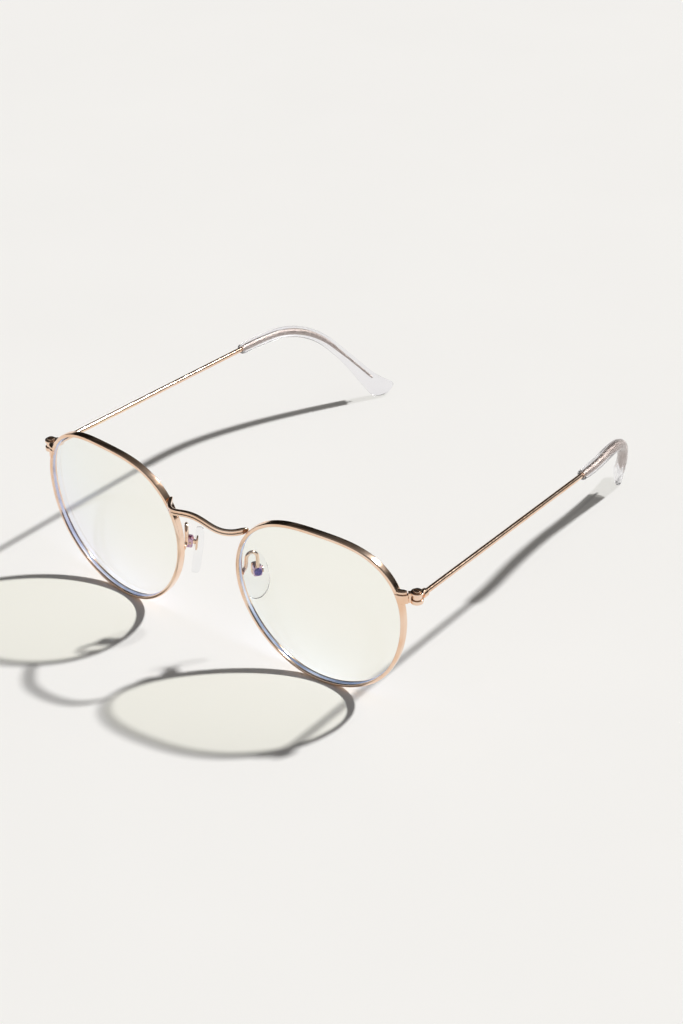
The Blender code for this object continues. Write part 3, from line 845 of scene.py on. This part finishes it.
@dataclass(frozen=True)
class Bridge:
    """A bowed bar with a groove along its front, whose ends wrap over the rims.

    With s = (x/reach)^2, bow b and arch a, its line is y = b0 + b1 s + b2 s^2 and z = a0 + a1 s + a2 s^2.
    """

    shape: EyeShape
    bow: tuple[float, float, float] = (-6.86, -1.18, 6.67)
    arch: tuple[float, float, float] = (43.3, -5.3, 3.0)
    reach: float = 12.6
    half: float = 13.15
    deep: float = 1.1
    tall: float = 1.75
    groove: float = 0.22
    groove_half: float = 0.3
    overlap: float = 0.35
    dome_stations: float = 9
    stations: int = 220

    def line(self) -> Array:
        """Points along the bar."""
        across = np.linspace(-self.half, self.half, self.stations)
        share = (across / self.reach) ** 2
        return np.stack([across, *(first + second * share + third * share**2
                                   for first, second, third in (self.bow, self.arch))], -1)

    def profile(self) -> Array:
        """Section of the bar: depth first, back positive, then height."""
        depth, height = self.deep / 2, self.tall / 2
        corners = np.array([(-depth, -height), (-depth, -self.groove_half), (-depth + self.groove, 0),
                            (-depth, self.groove_half), (-depth, height), (depth, height), (depth, -height)])
        return rounded(corners, np.array([0.3, 0.1, 0.1, 0.1, 0.36, 0.36, 0.3]), 7)

    def build(self, bench: Bench) -> None:
        """Makes the bridge."""
        line = self.line()
        back = np.cross((0.0, 0.0, 1.0), unit(np.gradient(line, axis=0)))
        share = np.linspace(0, 1, self.stations)
        left = np.minimum(share, 1 - share) * self.stations / self.dome_stations
        dome = np.sqrt(np.clip(1 - np.clip(1 - left, 0, 1) ** 2, 0.004, 1))
        grid = carried(line, self.profile()[None] * dome[:, None, None], back)
        for mirror in ((1, 1, 1), (-1, 1, 1)):
            grid = self.shape.kept_outside(grid * mirror, self.overlap) * mirror
        bench.piece("fine_bridge", [Patch(grid)], Side.LEFT, ("rose_gold",), "front", ("bridge",))


@dataclass(frozen=True)
class ClosingBlocks:
    """The two halves of each closing block, with the front knuckles, the rim screw and the hinge screw."""

    shape: EyeShape
    hinge: tuple[float, float, float] = HINGE
    lower: tuple[tuple[float, float], ...] = (
        (57.0, 1.85), (58.6, 1.88), (59.7, 2.07), (60.5, 2.48), (61.1, 3.05), (61.5, 3.65), (61.6, 4.2), (61.05, 4.45),
        (60.5, 4.55), (59.9, 4.15), (59.2, 3.8), (58.2, 3.62), (57.0, 3.55))
    upper: tuple[tuple[float, float], ...] = (
        (57.0, 1.9), (58.6, 1.93), (59.7, 2.12), (60.5, 2.53), (61.05, 3.05), (61.25, 3.6), (60.85, 4.2), (60.1, 4.15),
        (59.2, 3.75), (58.2, 3.57), (57.0, 3.5))
    z: tuple[float, float] = (35.2, 38.9)
    seam_level: float = 38.0
    seam: float = 0.16
    block_corner: float = 0.16
    block_inset: float = 0.8
    knuckle: float = 1.7
    knuckle_levels: tuple[tuple[float, float], ...] = ((35.2, 36.3), (37.7, 38.4))
    web_turn: float = math.radians(218.5)
    web_span: tuple[float, float] = (1.45, 2.35)
    web_half: float = 0.7
    web_clearance: float = 0.05
    hinge_screw_radii: tuple[float, float] = (0.6, 1.05)
    hinge_screw_levels: tuple[float, float, float] = (38.6, 38.46, 38.88)
    rim_screw: tuple[float, float] = (60.68, 3.6)
    rim_screw_radii: tuple[float, float] = (0.3, 0.42)

    def slotted_head(self, centre: tuple[float, float], radius: float, base: float, top: float, slot: float,
                     depth: float, down: bool) -> list[Patch]:
        """A slotted screw head.

        Args:
            centre: x and y of its axis.
            radius: its radius.
            base: level where it sits.
            top: level of its far end.
            slot: half the slot's width.
            depth: the slot's depth.
            down: whether the slot faces down.

        Returns:
            Its surfaces.
        """
        turn = (1, 1, -1 if down else 1)
        height = abs(top - base)
        disc = lathe(barrel(radius, 0.0, height - depth, 0.04), np.zeros(3), UP)
        moon = half_moon(radius, slot, height - depth - 0.02, height, 0.12)
        return [Patch(grid * turn + (*centre, base)) for grid in (disc, moon, moon * (1, -1, 1))]

    def build(self, bench: Bench) -> None:
        """Makes blocks and screws on both sides."""
        z0, z1 = self.z
        low = prism(self.lower, z0, self.seam_level - self.seam / 2, self.block_corner, 0.24)
        top = prism(self.upper, self.seam_level + self.seam / 2, z1, self.block_corner, 0.26)
        low, top = (self.shape.kept_outside(grid, self.block_inset) for grid in (low, top))
        axis = np.array((*self.hinge[:2], 0.0))
        near, far = self.web_span
        web = pillow((near, -self.web_half, z0 + self.web_clearance),
                     (far, self.web_half, self.knuckle_levels[1][1] - self.web_clearance), 7, 30, 72)
        web = web @ turned_by(2, self.web_turn).T + axis
        knuckles = [lathe(barrel(self.knuckle, *levels, 0.14), axis, UP) for levels in self.knuckle_levels]
        lower = [Patch(grid) for grid in (low, web, *knuckles)]
        bench.pair("block_lower", lower, ("rose_gold",), "front")
        bench.pair("block_upper", [Patch(top)], ("rose_gold",), "front")
        thin, wide = self.rim_screw_radii
        shank = lathe(barrel(thin, 35.6, 38.35, 0.05), np.array((*self.rim_screw, 0.0)), UP, 32)
        head = self.slotted_head(self.rim_screw, wide, 35.7, 35.1, 0.08, 0.15, True)
        bench.pair("rim_screw", head + [Patch(shank)], ("screw_steel",), "front")
        thin, wide = self.hinge_screw_radii
        end, seat, crown = self.hinge_screw_levels
        shank = lathe(barrel(thin, z0, end, 0.08), axis, UP, 32)
        head = self.slotted_head(self.hinge[:2], wide, seat, crown, 0.13, 0.16, False)
        bench.pair("hinge_screw", head + [Patch(shank)], ("screw_steel",), "front")


@dataclass(frozen=True)
class Temples:
    """Folding temples: a middle knuckle with its leaf and collar, a drawn wire, and a clear ear tip moulded over it.

    The path leaves the hinge axis sloping down, and in the tip it bends down at a constant radius and turns inward
    steadily. It is summed in steps of a quarter millimetre.
    """

    hinge: tuple[float, float, float] = HINGE
    yaw: float = math.radians(1.4)
    slope: float = math.radians(2.8)
    wire: float = 0.75
    collar_end: float = 3.9
    tip_start: float = 81.6
    bend_start: float = 13.3
    bend_radius: float = 34.4
    end_slope: float = math.radians(46.3)
    end_length: float = 28.2
    inward: float = math.radians(33.7)
    inward_span: tuple[float, float] = (2.2, 53.8)
    core: float = 59.4
    middle: float = 1.35
    levels: tuple[float, float] = (36.38, 37.62)
    collar: float = 1.2
    collar_length: float = 1.8
    flat_share: float = 0.86
    open_rings: int = 60
    core_rings: int = 160
    slim_rings: tuple[int, int] = (130, 190)
    slim_share: float = 0.4
    step: float = 0.25
    sections: tuple[tuple[float, float, float, float], ...] = (
        (0.0, 1.5, 1.5, 1.5), (0.04, 1.65, 1.65, 1.65), (0.2, 1.7, 1.7, 1.7), (0.35, 1.75, 1.7, 1.7),
        (0.5, 1.85, 1.6, 1.65), (0.68, 2.15, 1.45, 1.55), (0.76, 2.8, 1.4, 1.5), (0.84, 3.65, 1.4, 1.45),
        (0.88, 4.05, 1.5, 1.4), (0.928, 4.5, 2.1, 1.35), (0.952, 4.38, 2.6, 1.3), (0.976, 3.15, 3.0, 1.1),
        (0.992, 1.65, 2.75, 0.85), (1.0, 0.8, 2.0, 0.55))

    def tip_length(self) -> float:
        """Length of the ear tip along its middle."""
        return self.bend_start + self.bend_radius * (self.end_slope - self.slope) + self.end_length

    def turns(self, along: Array) -> tuple[Array, Array]:
        """Yaw and slope at each length from the hinge axis."""
        slope = self.slope + np.clip((along - self.tip_start - self.bend_start) / self.bend_radius, 0.0,
                                     self.end_slope - self.slope)
        start, end = self.inward_span
        yaw = self.yaw + self.inward * np.clip((along - self.tip_start - start) / (end - start), 0.0, 1.0)
        return yaw, slope

    def path(self, along: Array) -> tuple[Array, Array]:
        """Points of the path, and the direction outward across it.

        Args:
            along: lengths from the hinge axis.

        Returns:
            Points and unit vectors, one a row.
        """
        marks = np.arange(0.0, self.tip_start + self.tip_length() + 2, self.step)
        yaw, slope = self.turns(marks)
        way = np.stack([-np.sin(yaw) * np.cos(slope), np.cos(yaw) * np.cos(slope), -np.sin(slope)], -1)
        spots = np.array(self.hinge) + np.vstack([np.zeros((1, 3)), np.cumsum(way * self.step, 0)[:-1]])
        points = np.stack([np.interp(along, marks, spots[:, axis]) for axis in range(3)], -1)
        yaw, _ = self.turns(along)
        return points, np.stack([np.cos(yaw), np.sin(yaw), np.zeros_like(yaw)], -1)

    def hinge_patches(self) -> list[Patch]:
        """The middle knuckle, its leaf and the collar."""
        x, y, _ = self.hinge
        bottom, top = self.levels
        knuckle = lathe(barrel(self.middle, bottom, top, 0.12), np.array((x, y, 0.0)), UP)
        leaf = pillow((x - 0.6, y + 0.7, bottom + 0.04), (x + 0.7, y + 3.2, top - 0.04), 6)
        ends, _ = self.path(np.array([self.collar_end - self.collar_length, self.collar_end]))
        collar = lathe(barrel(self.collar, 0.0, self.collar_length, 0.3), ends[0], ends[1] - ends[0])
        return [Patch(knuckle), Patch(leaf), Patch(collar)]

    def wire_patch(self) -> Patch:
        """The wire, plated in the open, and bare, slimmer and round-ended inside the tip."""
        along = np.concatenate([np.linspace(self.collar_end - 0.8, self.tip_start, self.open_rings)[:-1],
                                np.linspace(self.tip_start, self.tip_start + self.core - self.wire, self.core_rings)])
        path, outward = self.path(along)
        path, radii = domed_end(path, self.wire)
        radii = radii * np.interp(np.arange(len(path)), self.slim_rings, (1.0, self.slim_share))
        outward = np.vstack([outward, np.repeat(outward[-1:], len(path) - len(outward), 0)])
        bands = np.zeros(len(path) - 1, int)
        bands[self.open_rings:] = 1
        return Patch(carried(path, round_section(1.0, 40)[None] * radii[:, None, None], outward), bands)

    def tip_patch(self) -> Patch:
        """The ear tip: an oval section that widens to a paddle, mostly on its lower side, rounded off at both ends."""
        length = self.tip_length()
        share, *reaches = np.array(self.sections).T
        place = np.concatenate([np.linspace(0, 0.012, 8)[:-1], np.linspace(0.012, 0.96, 300),
                                0.96 + 0.04 * np.sin(np.linspace(0, 0.985, 48)[1:] * math.pi / 2)])
        fine = np.linspace(0, 1, 800)
        kernel = np.hanning(25)
        kernel /= kernel.sum()
        half = len(kernel) // 2
        smoothed = (np.convolve(np.pad(np.interp(fine, share, reach), half, mode="edge"), kernel, mode="valid")
                    for reach in reaches)
        start = np.sqrt(1 - np.clip(1 - place / 0.006, 0, 1) ** 2) * 0.16 + 0.84
        close = np.sqrt(np.clip(1 - np.clip((place - 0.982) / 0.018, 0, 1) ** 2, 1e-4, 1))
        below, above, thick = ((np.interp(place, fine, reach) * start * close)[:, None] for reach in smoothed)
        path, outward = self.path(self.tip_start + length * place)
        angle = np.arange(72) * FULL_TURN / 72
        power = 2.0 + 0.7 * np.clip((place - 0.5) / 0.3, 0, 1)[:, None]
        reach = (np.abs(np.cos(angle)) ** power + np.abs(np.sin(angle)) ** power) ** (-1 / power)
        section = np.stack([reach * np.sin(angle) * thick,
                            reach * np.cos(angle) * np.where(np.cos(angle) > 0, below, above)], -1)
        return Patch(carried(path, section, outward), (place[1:] > self.flat_share).astype(int))

    def build(self, bench: Bench) -> None:
        """Makes both temples."""
        body = "temple_{}"
        bench.pair("temple_hinge", self.hinge_patches(), ("rose_gold",), body)
        bench.pair("temple_wire", [self.wire_patch()], ("rose_gold", "core_steel"), body)
        bench.pair("temple_tip", [self.tip_patch()], ("clear_tip", "clear_paddle"), body)


@dataclass(frozen=True)
class NosePads:
    """Nose pads: a gooseneck arm on the rim, a box with its screw, and a soft pad that rocks on it."""

    pivot: tuple[float, float, float] = (11.6, 4.6, 25.2)
    turn: float = math.radians(36.0)
    flare: float = math.radians(7.0)
    thick: float = 2.3
    wide: float = 7.6
    tall: float = 14.4
    offset: float = 2.35
    drop: float = 2.4
    arm: float = 0.5
    loop_rise: float = 2.0
    arm_stations: int = 150
    box: tuple[float, float] = (1.15, 1.45)
    screw_radii: tuple[float, float] = (0.35, 0.95)

    def placed(self, grid: Array) -> Array:
        """Points of the pad's frame, x along the rocking axis, y outward and z up the pad, put on the face."""
        matrix = turned_by(2, math.pi * 1.5 - self.turn) @ turned_by(0, self.flare)
        return grid @ matrix.T + np.array(self.pivot)

    def arm_patch(self) -> Patch:
        """The arm: up the back of the rim, over a loop and down to the box."""
        end = np.array(self.pivot) + (0.67, -0.49, 1.7)
        rise = np.array([(10.1, -0.1, 26.2), (10.12, 0.75, 26.45), (10.2, 1.4, 27.0), (10.3, 1.6, 28.0),
                         (10.35, 1.7, 29.5)])
        across = (end - rise[-1]) * 0.5
        angle = np.linspace(0, math.pi, 9)[1:-1, None]
        loop = (rise[-1] + across * (1 - np.cos(angle))) * (1, 1, 0)
        loop = loop + (0, 0, rise[-1, 2]) + np.array((0, 0, self.loop_rise)) * np.sin(angle)
        knots = np.vstack([rise, loop, [(end[0], end[1], 28.6)], [end - (0, 0, 0.3)]])
        path = smooth_line(knots, self.arm_stations)
        plane = unit(np.cross(across * (1, 1, 0), (0.0, 0.0, 1.0)))
        foot = 1 + 0.75 * np.exp(-np.linspace(0, 26, self.arm_stations))
        return Patch(carried(path, round_section(self.arm, 28)[None] * foot[:, None, None], plane))

    def pad_patch(self) -> Patch:
        """The pad: a D-shaped outline grown from a point on one face, round its edge, to a point on the other.

        The outline is (half width times cos (1 - 0.16 sin), half height times sin). The face on the nose carries four
        shallow cross ribs, which are waves in its height.
        """
        corners = np.array([(0.0, -0.5), (0.93, -0.5), (1.0, -0.05), (0.97, 0.5), (0.0, 0.5)])
        turn = rounded(corners, np.array([0.0, 0.22, 0.14, 0.12, 0.0]), 12)[12:48]
        meridian = np.vstack([np.stack([np.linspace(0.03, turn[0, 0], 26)[:-1], np.full(25, -0.5)], -1), turn,
                              np.stack([np.linspace(turn[-1, 0], 0.03, 20)[1:], np.full(19, 0.5)], -1)])
        scale, level = meridian[:, :1], meridian[:, 1:]
        angle = np.linspace(0, FULL_TURN, 128, endpoint=False)[None]
        side = self.wide / 2 * np.cos(angle) * (1 - 0.16 * np.sin(angle)) * scale
        up = self.tall / 2 * np.sin(angle) * scale
        deep = self.thick * level + 0 * angle
        inner = (level < -0.45) * np.clip((0.85 - scale) / 0.15, 0, 1)
        wave = np.exp(-((np.abs(side) / 2.1) ** 6)) * np.clip(np.sin(up * FULL_TURN / 1.7 + 0.12 * side**2), 0, 1)
        deep = deep + 0.2 * inner * wave * (np.abs(up + 2.9) < 3.5)
        crown = 0.18 * (1 - scale**2) * (level < -0.45)
        grid = np.stack([side, deep - crown - self.offset, up - self.drop], -1)
        return Patch(self.placed(grid))

    def build(self, bench: Bench) -> None:
        """Makes arms, boxes, screws, inserts and pads on both sides."""
        bench.pair("pad_arm", [self.arm_patch()], ("rose_gold",), "front")
        half, tall = self.box
        cheeks = [pillow((-half, -0.75, -tall), (-0.55, 1.15, tall), 6),
                  pillow((0.55, -0.75, -tall), (half, 1.15, tall), 6)]
        back = pillow((-half, 0.75, -tall), (half, 1.2, tall), 6)
        stud = lathe(barrel(1.1, 1.1, 1.42, 0.1), np.array((0.0, 0.0, -0.1)), (0, 1, 0), 40)
        box = [Patch(self.placed(grid)) for grid in (*cheeks, back)]
        box.append(Patch(self.placed(stud), np.ones(len(stud) - 1, int)))
        # Box and stud take the painted violet reflection finishes.
        bench.pair("pad_box", box, ("box_steel", "stud_steel"), "front")
        thin, wide = self.screw_radii
        shank = lathe(barrel(thin, -1.25, 1.25, 0.06), np.zeros(3), (1, 0, 0), 28)
        disc = lathe(barrel(wide, 1.21, 1.44, 0.04), np.zeros(3), (-1, 0, 0), 40)
        moon = half_moon(wide, 0.12, 1.42, 1.63, 0.1)
        halves = [np.stack([-grid[..., 2], grid[..., 0], grid[..., 1]], -1) for grid in (moon, moon * (1, -1, 1))]
        bench.pair("pad_screw", [Patch(self.placed(grid)) for grid in (shank, disc, *halves)], ("screw_steel",),
                   "front")
        face = -self.offset + self.thick / 2 - 0.35
        plate = pillow((-1.2, face - 0.6, -2.2), (1.2, face, 1.6), 5)
        lug = pillow((-0.42, face - 0.3, -0.6), (0.42, 0.62, 0.6), 6)
        bench.pair("pad_insert", [Patch(self.placed(grid)) for grid in (plate, lug)], ("rose_gold",),
                   "pad_{}")
        bench.pair("nose_pad", [self.pad_patch()], ("silicone",), "pad_{}")


@dataclass(frozen=True)
class Studio:
    """White table, a narrow key light from behind and to the wearer's left, soft room light, and the camera.

    Each wall stop is a height, as the share of a unit sight line, and the brightness there. The room is warm: green
    and blue are a few per cent weaker than red.
    """

    table_half: float = 12.0
    key_from: tuple[float, float, float] = (0.324, 0.639, 0.698)
    key_strength: float = 3.62
    key_spread: float = math.radians(3.2)
    room_strength: float = 0.26
    wall_stops: tuple[tuple[float, float], ...] = (
        (0.0, 0.75), (0.03, 0.07), (0.3, 0.02), (0.6, 0.06), (0.85, 0.34), (1.0, 0.48))
    wall_tint: tuple[float, float, float] = (1.0, 0.965, 0.92)
    glows: tuple[tuple[float, float], ...] = ((1.9, math.radians(7)), (0.62, math.radians(16)))
    camera_at: tuple[float, float, float] = (350.012, -406.4335, 379.0894)
    azimuth: float = math.radians(37.047)
    elevation: float = math.radians(32.262)
    focal: float = 84.39

    def table(self, board: bpy.types.Material) -> None:
        """The table top, a square at z = 0."""
        ends = np.array([-self.table_half, self.table_half])
        x, y = np.meshgrid(ends, ends)
        mesh = bpy.data.meshes.new("table")
        mesh.from_pydata(np.stack([x, y, np.zeros_like(x)], -1).reshape(-1, 3).tolist(), [], [(0, 1, 3, 2)])
        mesh.materials.append(board)
        top = bpy.data.objects.new("table", mesh)
        bpy.context.scene.collection.objects.link(top)

    def key(self) -> None:
        """The key light, small enough to throw a clear shadow."""
        light = bpy.data.lights.new("key", "SUN")
        light.energy = self.key_strength
        light.angle = self.key_spread
        light.color = KEY_TINT
        lamp = bpy.data.objects.new("key", light)
        lamp.rotation_euler = Vector(self.key_from).to_track_quat("Z", "Y").to_euler()
        bpy.context.scene.collection.objects.link(lamp)

    def room(self) -> None:
        """Soft room light: dark across the room beyond the table, lighter overhead, and a glow round the key light.

        Each glow is its peak times exp(-2 (1 - cos a) / w^2), where a is the angle from the key and w the width.
        """
        world = bpy.data.worlds.new("room")
        world.use_nodes = True
        tree = world.node_tree
        tree.nodes.clear()
        way = add_node(tree, "ShaderNodeTexCoord").outputs["Generated"]
        height = add_node(tree, "ShaderNodeSeparateXYZ", {0: way}).outputs["Z"]
        walls = add_node(tree, "ShaderNodeValToRGB", {0: height})
        ramp = walls.color_ramp
        for position, _ in self.wall_stops[1:-1]:
            ramp.elements.new(position)
        for element, (position, value) in zip(ramp.elements, self.wall_stops):
            element.position = position
            element.color = (*(value * share for share in self.wall_tint), 1.0)
        toward = (math.sin(self.azimuth), -math.cos(self.azimuth), 0.55)
        near = add_node(tree, "ShaderNodeVectorMath", {0: way, 1: toward}, operation="DOT_PRODUCT").outputs["Value"]
        window = add_node(tree, "ShaderNodeMapRange", {"Value": near, "From Min": -0.1, "From Max": 1.1,
                                                       "To Min": 0.0, "To Max": 0.55},
                          interpolation_type="SMOOTHSTEP").outputs["Result"]
        patches = add_node(tree, "ShaderNodeTexNoise", {"Vector": way, "Scale": 5.0, "Detail": 3.0}).outputs["Fac"]
        gleam = add_node(tree, "ShaderNodeMapRange", {"Value": patches, "From Min": 0.52, "From Max": 0.72,
                                                      "To Min": 0.0, "To Max": 0.22}).outputs["Result"]
        total = add_node(tree, "ShaderNodeMath", {0: window, 1: gleam}, operation="ADD").outputs["Value"]
        light = add_node(tree, "ShaderNodeMix", {"Factor": 1.0, 6: walls.outputs["Color"], 7: total}, data_type="RGBA",
                         blend_type="ADD")
        back = add_node(tree, "ShaderNodeBackground", {"Color": light.outputs[2], "Strength": self.room_strength})
        shine = back.outputs["Background"]
        beside = add_node(tree, "ShaderNodeVectorMath", {0: way, 1: Vector(self.key_from).normalized()},
                          operation="DOT_PRODUCT").outputs["Value"]
        for peak, width in self.glows:
            scaled = add_node(tree, "ShaderNodeMath", {0: beside, 1: 2 / width**2, 2: -2 / width**2},
                              operation="MULTIPLY_ADD").outputs["Value"]
            fall = add_node(tree, "ShaderNodeMath", {0: scaled}, operation="EXPONENT").outputs["Value"]
            power = add_node(tree, "ShaderNodeMath", {0: fall, 1: peak}, operation="MULTIPLY").outputs["Value"]
            soft = add_node(tree, "ShaderNodeBackground", {"Color": (*KEY_TINT, 1.0), "Strength": power})
            shine = add_node(tree, "ShaderNodeAddShader", {0: shine, 1: soft.outputs["Background"]}).outputs["Shader"]
        add_node(tree, "ShaderNodeOutputWorld", {"Surface": shine})
        bpy.context.scene.world = world

    def camera(self, shift: Array) -> None:
        """The camera, at the front and to the wearer's left, looking down.

        Args:
            shift: from the face frame to the row frame, in millimetres.
        """
        lens = bpy.data.cameras.new("camera")
        lens.sensor_fit = "AUTO"
        lens.sensor_width = 36.0
        lens.lens = self.focal
        lens.clip_start, lens.clip_end = 0.01, 100.0
        body = bpy.data.objects.new("camera", lens)
        back = Vector((math.sin(self.azimuth) * math.cos(self.elevation),
                       -math.cos(self.azimuth) * math.cos(self.elevation), math.sin(self.elevation)))
        body.location = (np.array(self.camera_at) + shift) * MM
        body.rotation_euler = (-back).to_track_quat("-Z", "Y").to_euler()
        bpy.context.scene.collection.objects.link(body)
        bpy.context.scene.camera = body

    def build(self, board: bpy.types.Material, shift: Array) -> None:
        """Sets the whole stage, on this board, with the glasses' shift from the face frame to the row frame."""
        self.table(board)
        self.key()
        self.room()
        self.camera(shift)
        bpy.context.scene.view_settings.view_transform = "Standard"


def finishes() -> dict[str, bpy.types.Material]:
    """Every finish of the glasses, by the name that the pieces use."""
    tip = ClearMoulding("injected_clear_acetate", "#F0EFF6", 1.18, 0.22, 4.0, "#93918E")
    paddle = replace(tip, name="injected_clear_acetate_flat", shadow="#F5F5F4")
    pad = ClearMoulding("cast_clear_silicone", "#F3F4F6", 1.06, 0.12, 1.5, "#F6F6F6", 0.12)
    return {
        "rose_gold": ElectroplatedRoseGold().material(),
        "screw_steel": PlatedScrewSteel().material(),
        # The pad box and its stud are coloured with a painted violet reflection of the lens coat, not a tint of the
        # steel.
        "box_steel": VioletReflectionSteel("lilac_tinted_steel", "#E2BFCB", "#A98AB4").material(),
        "stud_steel": VioletReflectionSteel("violet_tinted_steel", "#6B5596", "#4A3A78").material(),
        "lens": CoatedLens().material(),
        # The lens bevel carries a painted blue reflection with a faint painted glow.
        "lens_bevel": LensBevel().material(),
        "core_steel": CoreSteel().material(),
        "clear_tip": tip.material(),
        "clear_paddle": paddle.material(),
        "silicone": pad.material(),
    }


def corners(limits: tuple[Vector, Vector]) -> list[list[float]]:
    """A box's two corners as plain lists."""
    return [[float(value) for value in corner] for corner in limits]


def main() -> None:
    """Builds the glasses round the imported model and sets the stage."""
    logging.basicConfig(level=logging.INFO, format="%(name)s: %(message)s")
    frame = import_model()
    joint = next(item for item in frame["joints"] if item["name"] == "temple_fold_left")
    shift = np.array(joint["pos_m"]) / MM - np.array(HINGE)
    bench = Bench(shift, finishes())
    shape = EyeShape()
    for assembly in (Rims(shape), Lenses(shape), Bridge(shape), ClosingBlocks(shape), NosePads(), Temples()):
        assembly.build(bench)
    Studio().build(PaintedBoard().material(), shift)
    LOG.info("%d pieces made", len(bench.made))


if __name__ == "__main__":
    main()
